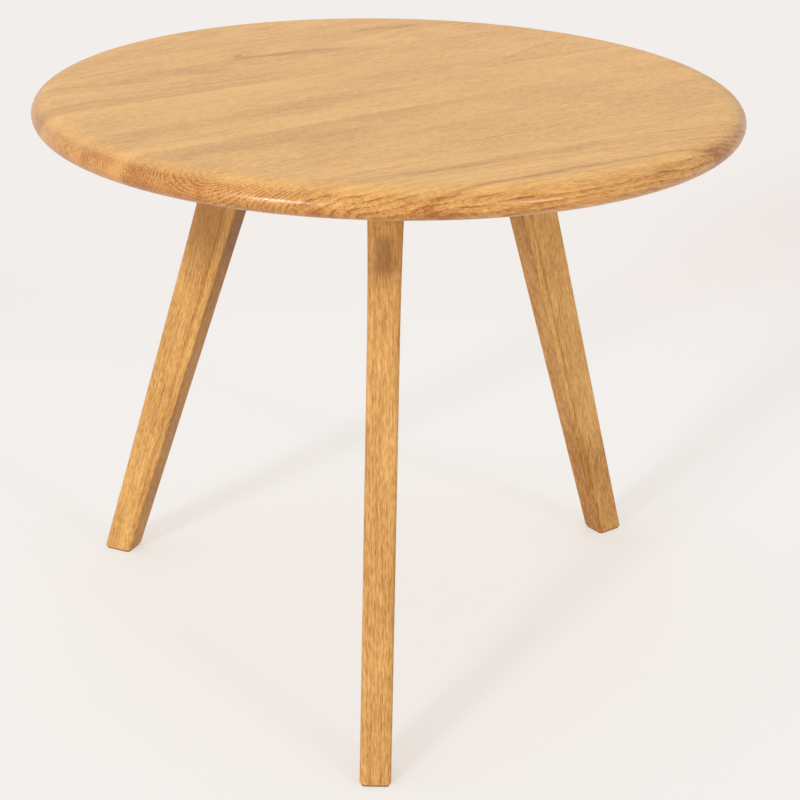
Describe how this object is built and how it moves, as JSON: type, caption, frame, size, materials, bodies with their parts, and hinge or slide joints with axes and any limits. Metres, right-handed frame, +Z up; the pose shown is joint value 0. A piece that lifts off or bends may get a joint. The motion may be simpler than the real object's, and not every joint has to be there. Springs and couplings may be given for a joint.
{
  "type": "round splayed-leg table",
  "caption": "Round solid-wood low table: glued-board top with a rounded rim on splayed, tapered legs, fixed to it with bolted steel plates.",
  "frame": {"origin": "on the floor, on the axis of the round top", "axes": "+Z up; -Y towards the picture's front leg, +X to the right of someone facing that leg"},
  "size_m": [0.6, 0.6, 0.5],
  "materials": {
    "oak_top": "satin oiled light oak",
    "oak_legs": "satin oiled light oak",
    "plate_steel": "fine-textured black powder coat",
    "screw_steel": "yellow zinc plated",
    "bolt_steel": "zinc plated",
    "insert_brass": "turned brass",
    "felt": "brown pressed felt"
  },
  "bodies": {
    "root": {"top_board_1": "oak_top", "top_board_2": "oak_top", "top_board_3": "oak_top", "top_board_4": "oak_top", "top_board_5": "oak_top", "leg_front": "oak_legs", "glide_front": "felt", "leg_plate_front": "plate_steel", "leg_screws_front": "screw_steel", "bolt_washers_front": "bolt_steel", "plate_bolts_front": "bolt_steel", "top_inserts_front": "insert_brass", "leg_right": "oak_legs", "glide_right": "felt", "leg_plate_right": "plate_steel", "leg_screws_right": "screw_steel", "bolt_washers_right": "bolt_steel", "plate_bolts_right": "bolt_steel", "top_inserts_right": "insert_brass", "leg_left": "oak_legs", "glide_left": "felt", "leg_plate_left": "plate_steel", "leg_screws_left": "screw_steel", "bolt_washers_left": "bolt_steel", "plate_bolts_left": "bolt_steel", "top_inserts_left": "insert_brass"}
  },
  "joints": []
}
